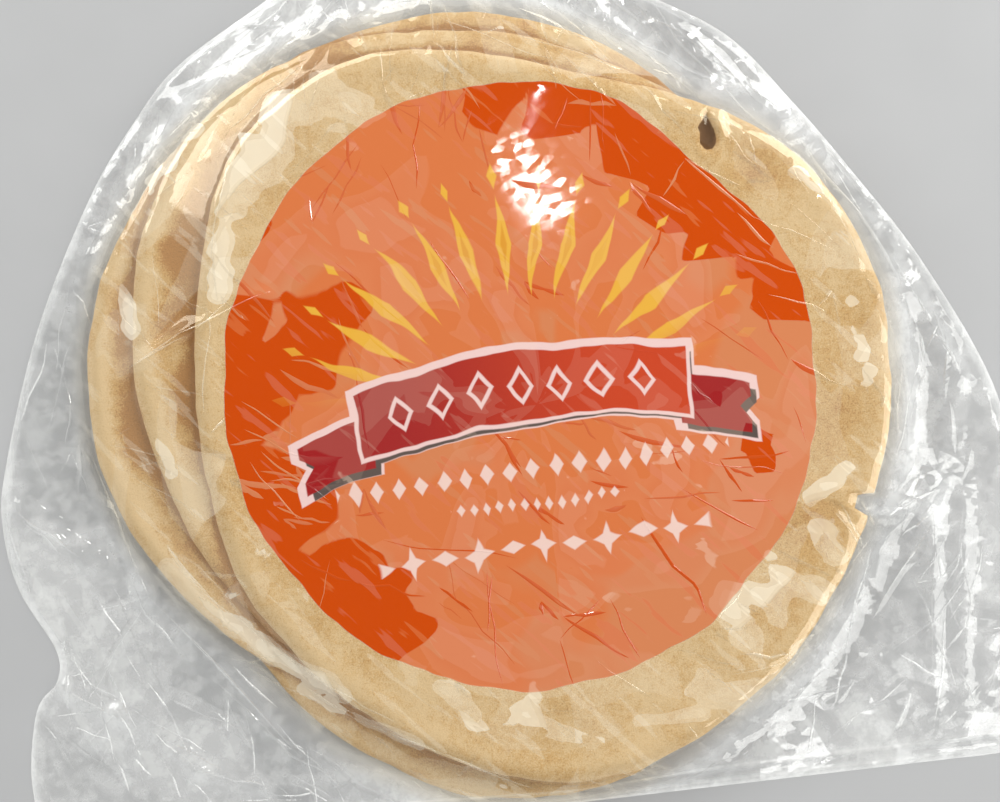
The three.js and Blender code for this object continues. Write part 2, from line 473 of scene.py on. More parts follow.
# %% Named folds
# Each has its two ends, and its height and half its width before both are scaled below.
FOLDS = [
    ((-158, 127), (-100, 124), 5.0, 7), ((-150, 125), (-108, 153), 4.5, 7), ((-155, 10), (-126, 24), 4, 4),
    ((-130, 22), (-92, 35), 1.8, 3.5), ((26, 150), (82, 112), 3, 7), ((55, 158), (105, 92), 2.5, 5),
    ((88, 146), (136, 70), 3, 7), ((143, 80), (182, 5), 4.5, 10), ((185, -82), (175, -175), 3, 6),
    ((199, -88), (188, -176), 2, 5), ((187, -82), (160, -93), 4.5, 6), ((-214, -45), (-186, -71), 4, 7),
    ((-203, -125), (-179, -140), 4, 6), ((-181, -138), (-195, -150), 3.5, 5),
    ((-180, -15), (-160, -92), 3, 8), ((-162, -88), (-103, -167), 3, 8),
    ((-149, -167), (-165, -149), 3, 5), ((-149, -167), (-118, -179), 3, 5),
    ((186, 6), (203, -34), 3.5, 6), ((-86, 150), (-126, 108), 2.5, 7), ((-50, 162), (-82, 134), 2.5, 7),
    ((-23, 197), (-56, 130), 4, 7), ((7, 192), (64, 118), 4, 7), ((-8, 190), (-8, 132), 4, 7),
    ((136, -84), (156, -122), 1.6, 3), ((84, -148), (128, -142), 1.2, 3), ((146, 66), (160, 20), 2.0, 6),
]


def raise_fold(field, start, end, height, half_width):
    """Adds a soft ridge between two places to the grid, only where it reaches."""
    dx, dy = end[0] - start[0], end[1] - start[1]
    length = math.hypot(dx, dy)
    x0, x1 = sorted((start[0], end[0]))
    y0, y1 = sorted((start[1], end[1]))
    i0, i1 = np.searchsorted(X_AXIS, (x0 - half_width, x1 + half_width))
    j0, j1 = np.searchsorted(Y_AXIS, (y0 - half_width, y1 + half_width))
    from_x, from_y = GRID_X[j0:j1, i0:i1] - start[0], GRID_Y[j0:j1, i0:i1] - start[1]
    along = (from_x * dx + from_y * dy) / length
    across = np.abs(from_y * dx - from_x * dy) / length
    ends = ease(along / half_width + 1) * ease((length - along) / half_width + 1)
    field[j0:j1, i0:i1] += height * ends * ease(1 - across / half_width)


# %% Facets that follow the film
def film_facets(size, seed, bend=0.45):
    """Facets drawn out round the stack, and towards the mouth in the upper half."""
    dx, dy = GRID_X - FILM_MIDDLE[0], GRID_Y - FILM_MIDDLE[1]
    round_stack = facets(170 * np.arctan2(dx, dy), np.hypot(dx, dy), size, seed, 2.2, 8, bend)
    mx, my = GRID_X - MOUTH[0], MOUTH[1] + 40 - GRID_Y
    to_mouth = facets(np.hypot(mx, my), 110 * np.arctan2(mx, my), size, seed + 40, 2.6, 0, bend)
    upper = ease((GRID_Y - 20 - 0.25 * np.abs(dx)) / 90)
    return round_stack * (1 - upper) + to_mouth * upper


FILM_RELIEF = np.zeros_like(GRID_X)
for start, end, height, half_width in FOLDS:
    raise_fold(FILM_RELIEF, start, end, 0.55 * height, 1.3 * half_width)
# Large and small facets in the loose film, and faint ones where it is tight
loose_facets = 2.0 * film_facets(44, 1) + 0.7 * film_facets(22, 2)
tight_facets = 0.12 * facets(GRID_X, GRID_Y, 46, 4, 1.8, -45)
FILM_RELIEF += LOOSE * (loose_facets + 1.0) + (1 - LOOSE) * (tight_facets + 0.3)
FILM_RELIEF = blur(FILM_RELIEF, 1.1)
print("the folds and facets stand up to", round(float(FILM_RELIEF.max()), 1), "mm high")

# %% [markdown]
# The film as a mesh.
# The upper layer runs from the middle of the top bread out to the film's edge, and the lower layer lies
# under the stack. Both share the same outline. Each point keeps a few numbers for the material: where the
# film clings to the bread, where air under it makes it white, where it is milky, how near it is to a crest,
# and how crumpled it is. Along the lowest bread's rim that white is partly a painted highlight. Clinging
# and milkiness come from the sharp noise, so that their borders are straight lines with corners, as on real
# film.

# %% Where the film clings to the bread
# Each spot has its place and its size.
CLINGS_AT = [
    (-112, 22, 58), (-118, -14, 60), (-104, -62, 60), (-72, -98, 50), (8, 104, 34), (44, 98, 34),
    (72, 84, 42), (94, 60, 34), (114, 40, 36), (128, 12, 26), (108, -52, 18), (92, -30, 14), (-76, 14, 46),
    (-99, 56, 34), (130, -104, 30), (152, 4, 30), (-60, -120, 34), (150, -60, 20), (-5, -182, 36),
    (60, -170, 30),
]


def clings(x, y):
    bias = -0.5 + 0 * x
    for spot_x, spot_y, size in CLINGS_AT:
        away = np.abs(x - spot_x + 0.4 * (y - spot_y)) + np.abs(y - spot_y - 0.4 * (x - spot_x))
        bias = np.maximum(bias, 0.6 - away / size)
    return bias + 0.42 * facets(x, y, 26, 91, 1.7, -50, 0.1) + 0.28 * facets(x, y, 10, 92, 2.2, 30, 0.1)


# %% Where air makes the film white, and a painted highlight
# Each strip of air under the film over the breads has its two ends and half its width.
GLAZED = [
    ((-59, 115), (-45, 102), 8), ((-52, 115), (-47, 100), 7), ((75, -119), (101, -118), 6),
    ((114, -115), (92, -134), 6), ((127, -93), (136, -103), 4.5), ((71, -152), (99, -164), 5),
    ((107, -102), (126, -121), 5),
    ((-35, -140), (10, -165), 4.5), ((-26, -152), (27, -170), 3.5), ((143, -68), (127, -78), 4),
    ((153, 46), (138, 60), 3.5), ((156, 3), (156, -31), 4), ((124, -137), (105, -156), 4),
    ((44, -163), (70, -163), 3), ((-98, -136), (-49, -163), 2.6), ((-154, 44), (-151, 27), 3),
    ((-136, 90), (-114, 109), 3.5), ((-145, -21), (-140, -35), 2.5),
]
# Strips that are hardly broken up: along the top bread's rim and along the lowest one's. The strip along
# the lowest bread's rim is partly a painted highlight along that rim.
LONG_GLAZED_AND_HIGHLIGHT = [
    ((-73, 110), (-103, 72), 9), ((-103, 72), (-111, 36), 5), ((-150, -77), (-126, -105), 4.2),
    ((-126, -105), (-108, -117), 6.5), ((-108, -117), (-78, -137), 4.8),
]


def away_from(x, y, start, end):
    """How far each point lies from the straight line between two places."""
    dx, dy = end[0] - start[0], end[1] - start[1]
    t = np.clip(((x - start[0]) * dx + (y - start[1]) * dy) / (dx * dx + dy * dy), 0, 1)
    return np.hypot(x - start[0] - t * dx, y - start[1] - t * dy)


def glaze(x, y):
    best = -1.0 + 0 * x
    for start, end, half in GLAZED:
        best = np.maximum(best, np.minimum(0.9 - away_from(x, y, start, end) / half, 0.35))
    for start, end, half in LONG_GLAZED_AND_HIGHLIGHT:
        best = np.maximum(best, 1.6 - 1.6 * away_from(x, y, start, end) / half)
    shapes = 0.8 * facets(x, y, 9, 101, 2.0, -45, 0.15) + 0.6 * facets(x, y, 4.5, 102, 1.7, 20, 0.1)
    return best + shapes


# %% Where the film is crumpled
# The knot of small creases on the upper part of the print, from one end to the other.
KNOT_FROM, KNOT_TO, KNOT_WIDTH = (8, 92), (42, 58), 10


def crumple(x, y):
    """How much the film is crumpled in large facets and in small ones, of which the knot has more."""
    knot = np.exp(-(away_from(x, y, KNOT_FROM, KNOT_TO) / KNOT_WIDTH) ** 2)
    loose = read_grid(LOOSE, x, y)
    large = 0.010 + 0.45 * loose + 0.02 * (1 - loose) * np.maximum(heaves(x, y, 30, 97), 0)
    return large, large + 0.11 * knot


# %% How the layers are made
INNER_RINGS, OUTER_RINGS, FINER_FROM = 58, 65, 0.66
UNDER_RINGS, UNDER_HEIGHT = 46, 0.25
EDGE_FLAT = 5
LEAST_HEIGHT, TOP_EDGE, UNDER_EDGE = 0.9, 0.55, 0.45


def film_height(x, y):
    base = read_grid(FILM_BASE, x, y)
    relief = read_grid(FILM_RELIEF, x, y)
    within = read_grid(INSIDE_FILM, x, y)
    calm = ease(within / EDGE_FLAT)
    seal = ease((y - SEAL_Y - SEAL_WIDTH * 0.6) / 4)
    height = base + relief * (0.25 + 0.75 * calm) * (0.12 + 0.88 * seal)
    return np.maximum(np.maximum(height, read_grid(CLEAR_OF_BREAD, x, y) * calm), LEAST_HEIGHT)


def make_film_top():
    inner = np.linspace(0, FINER_FROM, INNER_RINGS + 1)[1:]
    outer = np.linspace(FINER_FROM, 1, OUTER_RINGS + 1)[1:]
    shares = np.concatenate((inner, outer))
    rings = []
    for share in shares:
        x = FILM_MIDDLE[0] + share * (film_edge[:, 0] - FILM_MIDDLE[0])
        y = FILM_MIDDLE[1] + share * (film_edge[:, 1] - FILM_MIDDLE[1])
        rings.append(np.stack((x, y, film_height(x, y)), 1))
    rings[-1][:, 2] = TOP_EDGE
    start = (*FILM_MIDDLE, film_height(np.array([FILM_MIDDLE[0]]), np.array([FILM_MIDDLE[1]]))[0])
    return mesh_from_rings("film_top", rings, start)


def make_film_under():
    rings = []
    for share in np.linspace(1, 0, UNDER_RINGS)[:-1] ** 0.8:
        x = FILM_MIDDLE[0] + share * (film_edge[:, 0] - FILM_MIDDLE[0])
        y = FILM_MIDDLE[1] + share * (film_edge[:, 1] - FILM_MIDDLE[1])
        ripple = UNDER_HEIGHT + 0.2 * read_grid(LOOSE, x, y) * (1 + facets(x, y, 14, 8))
        rings.append(np.stack((x, y, ripple), 1))
    rings[0][:, 2] = UNDER_EDGE
    return mesh_from_rings("film_under", rings, end=(*FILM_MIDDLE, UNDER_HEIGHT))


# %% The two layers
film_top, film_points = make_film_top()
film_under, under_points = make_film_under()
print("film_top has", len(film_top.data.polygons), "faces and film_under", len(film_under.data.polygons))

# %% Keep the film's numbers for its material
# The seal's two lines are whiter film. The line along the film's edge is partly doubled film and partly a
# painted highlight of its fold.
seal_lines = np.exp(-((np.abs(GRID_Y - SEAL_Y - 6) - 3) / 0.8) ** 2)
CREST_WHITE_AND_SHEEN = np.maximum(0.5 * seal_lines, 0.6 * np.exp(-(INSIDE_FILM / 1.4) ** 2))
MILK = 0.6 * film_facets(30, 93, 0.12) + 0.4 * film_facets(12, 94, 0.12)
VEIL = 0.7 * facets(GRID_X, GRID_Y, 46, 95, 2.0, 60, 0.12) + 0.3 * film_facets(17, 96, 0.12)
for layer, points in ((film_top, film_points), (film_under, under_points)):
    x, y = points[:, 0], points[:, 1]
    large, small = crumple(x, y)
    keep_values(layer, "crumple", large)
    keep_values(layer, "knot", small)
    keep_values(layer, "loose", read_grid(LOOSE, x, y))
    # The share that lies over the breads tints the haze cream: painted light of the breads below.
    keep_values(layer, "bread_glow", 1 - read_grid(LOOSE, x, y))
    keep_values(layer, "clings", clings(x, y) - 2 * read_grid(LOOSE, x, y))
    keep_values(layer, "glaze", glaze(x, y) if layer is film_top else 0 * x - 1)
    for name, field in (("milk", MILK), ("veil", VEIL), ("crest", CREST_WHITE_AND_SHEEN)):
        keep_values(layer, name, read_grid(field, x, y))
print("each layer has", len(film_top.data.attributes), "attributes, Blender's own among them")

# %% [markdown]
# Creases.
# A crease in film is far thinner than the mesh of the film is fine. So each one is a narrow tent of its
# own that stands on the film: a row of points along its crest and one along each foot, tapered to nothing
# at both ends, with a few kinks, because a crease runs straight and then turns. Where a fold has fallen
# over, one side of its tent is much wider than the other. Over the print a crease either touches the
# bread, which makes it deep orange, or stands off it, which makes it pale.

# %% One crease
CREASE_STEPS = 14
CREASE_CLEAR = 0.15
EDGE_CLEAR = 1.5
KINKS_AT = (0, 0.25, 0.5, 0.75, 1)
chance = np.random.default_rng(77)
crease_rows, crease_white_and_sheen, crease_contact = [], [], []


def add_crease(start, end, left, right, height, white, contact=1.0, kink=0.02):
    """Keeps the three rows of one crease: left foot, crest and right foot."""
    start, end = np.array(start, float), np.array(end, float)
    if read_grid(INSIDE_FILM, *np.transpose((start, end))).min() < EDGE_CLEAR:
        return
    along = end - start
    length = math.hypot(*along)
    normal = np.array((-along[1], along[0])) / length
    t = np.linspace(0, 1, CREASE_STEPS + 1)
    bends = chance.normal(0, kink * length, 5) * (0, 1, 1, 1, 0)
    centre = start + t[:, None] * along + np.interp(t, KINKS_AT, bends)[:, None] * normal
    taper = np.clip(1 - np.abs(2 * t - 1) ** 3, 0, 1) * np.interp(t, KINKS_AT, chance.uniform(0.4, 1, 5))
    # The crest is whiter: partly the film's own whitening, partly a painted highlight.
    for side, lift, whiteness in ((left, 0.0, 0.0), (0.0, height, white), (-right, 0.0, 0.0)):
        x, y = (centre + (side * taper)[:, None] * normal).T
        crease_rows.append(np.stack((x, y, film_height(x, y) + CREASE_CLEAR + lift * taper), 1))
        crease_white_and_sheen.append(whiteness * taper)
        crease_contact.append(np.full(t.size, contact))


# %% Which way creases run
def towards_mouth(x, y):
    return math.degrees(math.atan2(MOUTH[1] + 60 - y, MOUTH[0] - x))


def along_rim(x, y):
    return math.degrees(math.atan2(y - FILM_MIDDLE[1], x - FILM_MIDDLE[0])) + 90


def slanting(x, y):
    return -48 + 30 * math.sin(x / 40)


# %% Creases by chance
def scatter_creases(count, region, turns, lengths, widths, steepness, white, lopsided):
    """Creases at random places where region is above a random number, some of them forked."""
    placed = 0
    while placed < count:
        x, y = chance.uniform(-225, 225), chance.uniform(-203, 203)
        if read_grid(region, np.array([x]), np.array([y]))[0] < chance.uniform(0, 1):
            continue
        placed += 1
        turn = turns(x, y) + chance.normal(0, 18)
        length = chance.uniform(*lengths)
        left = chance.uniform(*widths)
        right = left * (chance.uniform(2.5, 6) if chance.uniform() < lopsided else 1)
        contact = -np.sign(clings(np.array([x]), np.array([y]))[0]) * chance.uniform(0.002, 0.014)
        for part, share in ((turn, 1.0), (turn + chance.choice((-1, 1)) * chance.uniform(20, 50), 0.55)):
            reach = share * length
            far = x + reach * math.cos(math.radians(part)), y + reach * math.sin(math.radians(part))
            loose = read_grid(LOOSE, np.array([x]), np.array([y]))[0]
            add_crease((x, y), far, left, right, left * chance.uniform(*steepness),
                       white * chance.uniform(0.5, 1), 1.0 if loose > 0.5 else contact)
            if chance.uniform() > 0.35:
                break


# %% All creases
# Creases over the print that touch the bread, and pale ones over the breads and the print's left side. Each
# has its two ends and the width of its wider side.
PRINT_CENTRE, PRINT_RADIUS = (11, -16.3), 125.5
DARK_CREASES = [
    ((-69, -90), (-39, -100), 1.1), ((-33, -97), (-20, -109), 1.3), ((-12, -91), (-11, -142), 0.6),
    ((-10, -94), (-15, -118), 0.5), ((91, -57), (121, -57), 1.6), ((91, -57), (99, -72), 1.4),
    ((55, -77), (78, -122), 1.2), ((73, -67), (104, -89), 0.8), ((94, -75), (112, -77), 0.7),
    ((81, -22), (92, -34), 0.7), ((70, -48), (75, -61), 0.9), ((34, 93), (50, 89), 1.3),
    ((45, 102), (38, 89), 0.9), ((55, 104), (51, 74), 0.5), ((59, 102), (58, 78), 0.5),
    ((68, 26), (82, 49), 0.8), ((-55, -74), (2, -89), 0.5), ((-90, -78), (-69, -90), 0.9),
    ((-20, 49), (-6, 22), 0.5), ((38, -110), (48, -137), 0.8), ((15, -125), (34, -110), 0.5),
    ((-17, 108), (-23, 71), 0.5), ((115, 8), (125, -19), 0.6), ((19, -146), (15, -125), 0.5),
]
PALE_CREASES = [
    ((-134, -89), (-102, -117), 2.2), ((-103, -116), (-82, -135), 2.6), ((-83, -134), (-57, -152), 1.4),
    ((-97, -133), (-75, -150), 2.6), ((-76, -149), (-40, -167), 2.0), ((-41, -166), (2, -192), 1.6),
    ((-148, -66), (-130, -94), 3.0), ((91, 71), (118, 42), 1.2), ((80, 56), (91, 70), 1.0),
    ((-107, -21), (-71, -42), 0.9), ((-101, -31), (-75, -55), 0.8), ((-107, -9), (-84, -28), 0.6),
    ((-99, -44), (-67, -47), 0.7), ((-106, -35), (-88, -62), 0.5), ((-121, -21), (-114, -15), 1.2),
    ((149, -81), (157, -95), 1.8), ((157, -97), (135, -117), 1.2), ((139, -80), (149, -103), 1.0),
    ((90, -140), (115, -143), 1.4), ((65, -167), (69, -175), 0.6), ((82, -125), (94, -113), 0.8),
    ((-151, 13), (-125, 21), 0.9), ((-125, 21), (-106, 34), 0.6), ((-117, 35), (-123, -15), 0.5),
    ((-138, 59), (-139, 25), 0.6), ((-99, 97), (-117, 35), 0.9), ((-65, 131), (-100, 106), 0.8),
    ((-8, 147), (44, 119), 0.5), ((24, 134), (77, 110), 0.6), ((29, -135), (52, -155), 0.5),
]
for start, end, wide in DARK_CREASES:
    add_crease(start, end, 0.35, wide, 0.12, 0.0, 0.012)
for start, end, wide in PALE_CREASES:
    on_print = math.dist(start, PRINT_CENTRE) < PRINT_RADIUS
    add_crease(start, end, 0.4, wide, 0.15, 0.25 if on_print else 0.8, -0.02)

IN_FILM = (INSIDE_FILM > 2) * 1.0
UPPER = ease((GRID_Y - 40) / 80)
for start, end, height, half_width in FOLDS:
    add_crease(start, end, 0.6, 0.06 * half_width * height, 0.2 * height, 0.8)
scatter_creases(110, IN_FILM * LOOSE * (1 - UPPER), along_rim, (14, 60), (0.4, 0.9), (0.3, 0.8), 0.8, 0.3)
scatter_creases(90, IN_FILM * LOOSE * UPPER, towards_mouth, (16, 60), (0.4, 0.9), (0.3, 0.8), 0.8, 0.3)
scatter_creases(90, 1 - LOOSE, slanting, (8, 40), (0.2, 0.5), (0.1, 0.3), 0.3, 0.6)
scatter_creases(50, (1 - LOOSE) * UPPER, towards_mouth, (10, 46), (0.25, 0.5), (0.1, 0.3), 0.4, 0.4)
scatter_creases(16, np.exp(-np.hypot(GRID_X + 88, GRID_Y + 38) ** 2 / 700), lambda x, y: -15, (10, 30),
                (0.5, 1.1), (0.05, 0.12), 0.2, 0.5)


# %% Join the creases to a mesh
def mesh_from_rows(name, rows):
    """Each three rows in turn become the two sides of a tent."""
    count = CREASE_STEPS + 1
    first = np.arange(0, len(rows) * count, 3 * count)[:, None]
    here = np.arange(CREASE_STEPS)[None, :]
    quads = []
    for row in (0, 1):
        a, b = first + row * count + here, first + (row + 1) * count + here
        quads.append(np.stack((a, b, b + 1, a + 1), 2).reshape(-1, 4))
    points = np.concatenate(rows)
    mesh = bpy.data.meshes.new(name)
    mesh.from_pydata((points * MM).tolist(), [], np.concatenate(quads).tolist())
    mesh.validate()
    thing = bpy.data.objects.new(name, mesh)
    bpy.context.scene.collection.objects.link(thing)
    return thing


film_creases = mesh_from_rows("film_creases", crease_rows)
nothing = np.zeros(len(film_creases.data.vertices))
keep_values(film_creases, "crest", np.concatenate(crease_white_and_sheen))
keep_values(film_creases, "clings", np.concatenate(crease_contact))
# Over the breads the creases' haze is tinted cream: painted light of the breads below.
keep_values(film_creases, "bread_glow", 1 - read_grid(LOOSE, *np.concatenate(crease_rows)[:, :2].T))
for name, value in (("loose", 0), ("milk", -1), ("veil", 1), ("glaze", -1), ("crumple", 0), ("knot", 0)):
    keep_values(film_creases, name, nothing + value)
print(len(crease_rows) // 3, "creases with", len(film_creases.data.polygons), "faces")

# %% [markdown]
# Writing materials.
# A material is a small program of nodes. These helpers let it be written in lines that read like
# sums: each call places one node and gives back its output.

# %% Helpers for nodes
class Nodes:
    def __init__(self, tree):
        self.tree = tree

    def add(self, kind, settings=None, **inputs):
        node = self.tree.nodes.new(kind)
        for name, value in (settings or {}).items():
            setattr(node, name, value)
        for name, value in inputs.items():
            self.feed(node.inputs[name.replace("_", " ")], value)
        return node

    def feed(self, socket, value):
        if isinstance(value, bpy.types.NodeSocket):
            self.tree.links.new(value, socket)
        else:
            socket.default_value = value

    def math(self, operation, *values, clamp=False):
        node = self.tree.nodes.new("ShaderNodeMath")
        node.operation, node.use_clamp = operation, clamp
        for socket, value in zip(node.inputs, values):
            self.feed(socket, value)
        return node.outputs[0]

    def plus(self, a, b):
        return self.math("ADD", a, b)

    def minus(self, a, b):
        return self.math("SUBTRACT", a, b)

    def times(self, a, b):
        return self.math("MULTIPLY", a, b)

    def over(self, a, b):
        return self.math("DIVIDE", a, b)

    def ramp(self, value, low, high, to_low=0.0, to_high=1.0):
        """Runs smoothly from to_low to to_high as value goes from low to high."""
        node = self.add("ShaderNodeMapRange", {"interpolation_type": "SMOOTHSTEP"})
        for socket, given in zip(node.inputs, (value, low, high, to_low, to_high)):
            self.feed(socket, given)
        return node.outputs[0]

    def blend(self, share, first, second):
        node = self.add("ShaderNodeMix", {"data_type": "RGBA"})
        self.feed(node.inputs[0], share)
        self.feed(node.inputs[6], first)
        self.feed(node.inputs[7], second)
        return node.outputs[2]

    def noise(self, where, scale, detail=2.0, rough=0.5):
        """Noise across the flat pack: its height above the floor doesn't count, which saves time."""
        node = self.add("ShaderNodeTexNoise", {"noise_dimensions": "2D"}, Vector=where, Scale=scale,
                        Detail=detail, Roughness=rough)
        return node.outputs[0]

    def kept(self, name):
        return self.add("ShaderNodeAttribute", {"attribute_name": name}).outputs["Fac"]

    def place(self):
        """The point on the object, in millimetres."""
        here = self.add("ShaderNodeTexCoord").outputs["Object"]
        grown = self.add("ShaderNodeVectorMath", {"operation": "SCALE"}, Vector=here, Scale=1000.0)
        return grown.outputs[0]


# %% Begin a group or a material
def new_group(name, inputs, outputs):
    """An empty shader node group with these named inputs and outputs."""
    group = bpy.data.node_groups.new(name, "ShaderNodeTree")
    for label, kind, value in inputs:
        socket = group.interface.new_socket(label, in_out="INPUT", socket_type=kind)
        if value is not None:
            socket.default_value = value
    for label, kind in outputs:
        group.interface.new_socket(label, in_out="OUTPUT", socket_type=kind)
    nodes = Nodes(group)
    return group, nodes, nodes.add("NodeGroupInput").outputs, nodes.add("NodeGroupOutput").inputs


def new_material(name):
    material = bpy.data.materials.new(name)
    material.use_nodes = True
    tree = material.node_tree
    tree.nodes.clear()
    nodes = Nodes(tree)
    return material, nodes, nodes.add("ShaderNodeOutputMaterial")


FLOAT, COLOUR, VECTOR = "NodeSocketFloat", "NodeSocketColor", "NodeSocketVector"

# %% [markdown]
# The baked crust.
# All four breads share one effect: pale flour and dough, brown where the oven's floor was hottest, a
# mottled grain, and fine brown specks. It is a group, so that each bread can ask for its own share of
# brown. The brown that each bread keeps also holds painted shade beside the bread above it, and its pale
# rim is partly a painted highlight. The colour in the small torn hole is painted shade: the crumb's
# shadowed inside.

# %% The crust group
PALE_CRUST, GOLDEN_CRUST = (0.715, 0.51, 0.265, 1), (0.61, 0.375, 0.145, 1)
BROWN_CRUST, SPECK_BROWN = (0.45, 0.22, 0.07, 1), (0.33, 0.16, 0.055, 1)
SHADED_CRUMB = (0.22, 0.11, 0.042, 1)
crust_group, n, given, out = new_group(
    "Baked crust",
    [("Place", VECTOR, None), ("Baked", FLOAT, 0.0), ("Brown", FLOAT, 1.0), ("Torn", FLOAT, 0.0)],
    [("Color", COLOUR), ("Height", FLOAT), ("Roughness", FLOAT)])
patches = n.noise(given["Place"], 0.055, 3.0, 0.6)
mottle = n.noise(given["Place"], 0.3, 2.0, 0.65)
grain = n.noise(given["Place"], 1.5, 2.0, 0.7)
specks = n.ramp(n.noise(given["Place"], 1.05, 1.0, 0.75), 0.55, 0.72)
brown_with_shade = n.plus(given["Baked"], n.math("MULTIPLY_ADD", patches, 1.1, -0.52))
brown_with_shade = n.times(brown_with_shade, given["Brown"])
brown_with_shade = n.plus(brown_with_shade, n.math("MULTIPLY_ADD", mottle, 0.9, -0.45))
brown_with_shade = n.plus(brown_with_shade, n.math("MULTIPLY_ADD", grain, 1.6, -0.8))
crust = n.blend(n.ramp(brown_with_shade, -0.2, 0.45), PALE_CRUST, GOLDEN_CRUST)
crust = n.blend(n.ramp(brown_with_shade, 0.4, 1.1), crust, BROWN_CRUST)
speckled = n.times(specks, n.ramp(brown_with_shade, -0.1, 0.9, 0.12, 0.6))
crust = n.blend(speckled, crust, SPECK_BROWN)
crust = n.blend(n.ramp(given["Torn"], 0.1, 0.5), crust, SHADED_CRUMB)
n.feed(out["Color"], crust)
n.feed(out["Height"], n.math("MULTIPLY_ADD", grain, 0.35, n.times(mottle, 0.6)))
n.feed(out["Roughness"], n.ramp(brown_with_shade, 0.0, 1.0, 0.78, 0.62))

# %% Give each bread its crust
BROWN_SHARE = {"bread_lowest": 1.0, "bread_third": 1.15, "bread_second": 1.1, "bread_top": 0.8}


def crust_material(name, brown):
    material, nodes, output = new_material(name)
    group = nodes.add("ShaderNodeGroup", {"node_tree": crust_group},
                      Place=nodes.place(), Baked=nodes.kept("browning_and_shade"), Brown=brown, Torn=nodes.kept("torn"))
    bump = nodes.add("ShaderNodeBump", Height=group.outputs["Height"], Strength=0.55, Distance=0.0006)
    shader = nodes.add("ShaderNodeBsdfPrincipled", Base_Color=group.outputs["Color"],
                       Roughness=group.outputs["Roughness"], Normal=bump.outputs[0])
    shader.inputs["Specular IOR Level"].default_value = 0.3
    nodes.feed(output.inputs["Surface"], shader.outputs[0])
    return material


for name, thing in breads.items():
    thing.data.materials.append(crust_material(name.replace("bread", "crust"), BROWN_SHARE[name]))

# %% [markdown]
# The film's haze and facets.
# Clear film isn't quite clear: it is milky where air lies under it and where several layers overlap, and
# white along its creases and its long fine wrinkles: partly the film's own whitening, partly painted
# highlights and glints. It is also full of small flat facets, which mirror the
# light in straight-edged shards. A Voronoi texture cuts the plane into cells with straight borders, and its
# colour is a random value for each cell: used as a tilt of the normal, each cell becomes a facet. The upper
# and the lower layer and the creases all use the group.

# %% The film group
film_group, n, given, out = new_group(
    "Film surface",
    [("Place", VECTOR, None), ("Loose", FLOAT, 1.0), ("Clings", FLOAT, 0.0), ("Milk", FLOAT, 0.0),
     ("Veil", FLOAT, 0.0), ("Glaze", FLOAT, 0.0), ("Crest", FLOAT, 0.0), ("Crumple", FLOAT, 1.0),
     ("Knot", FLOAT, 1.0)],
    [("Haze", FLOAT), ("Touch", FLOAT), ("Wrinkle", FLOAT), ("Tilt", VECTOR)])


def turned(turn, size, stretch):
    """The place, turned and scaled, so that a pattern gets this size and is drawn out along the turn."""
    spun = n.add("ShaderNodeMapping", {"vector_type": "TEXTURE"}, Vector=given["Place"])
    spun.inputs["Rotation"].default_value = (0, 0, math.radians(turn))
    spun.inputs["Scale"].default_value = (size * stretch, size, 1)
    return spun.outputs[0]


def shards(turn, size, stretch, tilt, amount):
    """A random tilt for each cell, times the amount."""
    cells = n.add("ShaderNodeTexVoronoi", {"voronoi_dimensions": "2D"}, Scale=1.0)
    n.feed(cells.inputs["Vector"], turned(turn, size, stretch))
    centred = n.add("ShaderNodeVectorMath", {"operation": "MULTIPLY_ADD"})
    n.feed(centred.inputs[0], cells.outputs["Color"])
    n.feed(centred.inputs[1], (tilt, tilt, 0.0))
    n.feed(centred.inputs[2], (-tilt / 2, -tilt / 2, 0.0))
    scaled = n.add("ShaderNodeVectorMath", {"operation": "SCALE"})
    n.feed(scaled.inputs[0], centred.outputs[0])
    n.feed(scaled.inputs["Scale"], amount)
    return scaled.outputs[0]


def add_vectors(a, b):
    added = n.add("ShaderNodeVectorMath", {"operation": "ADD"})
    n.feed(added.inputs[0], a)
    n.feed(added.inputs[1], b)
    return added.outputs[0]


# %% What the film group puts out
touching = n.ramp(given["Clings"], -0.02, 0.02)
airy = n.minus(1.0, touching)
milky = n.plus(n.ramp(given["Milk"], 0.02, 0.04), n.ramp(given["Milk"], 0.30, 0.32))
veiled = n.plus(n.ramp(given["Veil"], -0.1, -0.06), n.ramp(given["Veil"], 0.28, 0.31))
layers = n.plus(n.times(milky, 0.08), n.times(veiled, 0.07))
over_bread = n.times(n.math("MULTIPLY_ADD", milky, 0.09, 0.02), airy)
glazed = n.times(n.ramp(given["Glaze"], -0.03, 0.05), n.ramp(given["Milk"], -0.06, 0.0, 0.2, 0.38))
# Long fine wrinkles, drawn out along one slanting direction. Their pale streaks over the breads are partly
# painted glints.
wrinkles = n.noise(turned(-48, 6, 6), 1.0, 2.0, 0.55)
glazed = n.times(glazed, n.ramp(given["Glaze"], 0.68, 0.76, 1.0, 1.35))
glazed = n.plus(glazed, n.ramp(wrinkles, 0.62, 0.66, 0.0, 0.13))
over_bread = n.plus(over_bread, glazed)
cloudy = n.times(n.ramp(n.noise(given["Place"], 0.11, 4.0, 0.65), 0.38, 0.66), 0.14)
over_floor = n.plus(n.plus(layers, cloudy), 0.08)
base = n.plus(n.times(over_floor, given["Loose"]),
              n.times(over_bread, n.minus(1.0, given["Loose"])))
# Crests add white: partly whitened film and partly a painted highlight.
n.feed(out["Haze"], n.math("MULTIPLY_ADD", given["Crest"], 0.5, base, clamp=True))
n.feed(out["Touch"], touching)
n.feed(out["Wrinkle"], wrinkles)
tilt = add_vectors(shards(72, 17, 2.8, 0.42, given["Crumple"]), shards(-40, 11, 2.4, 0.34, given["Crumple"]))
n.feed(out["Tilt"], add_vectors(tilt, shards(20, 2.6, 1.8, 0.24, given["Knot"])))

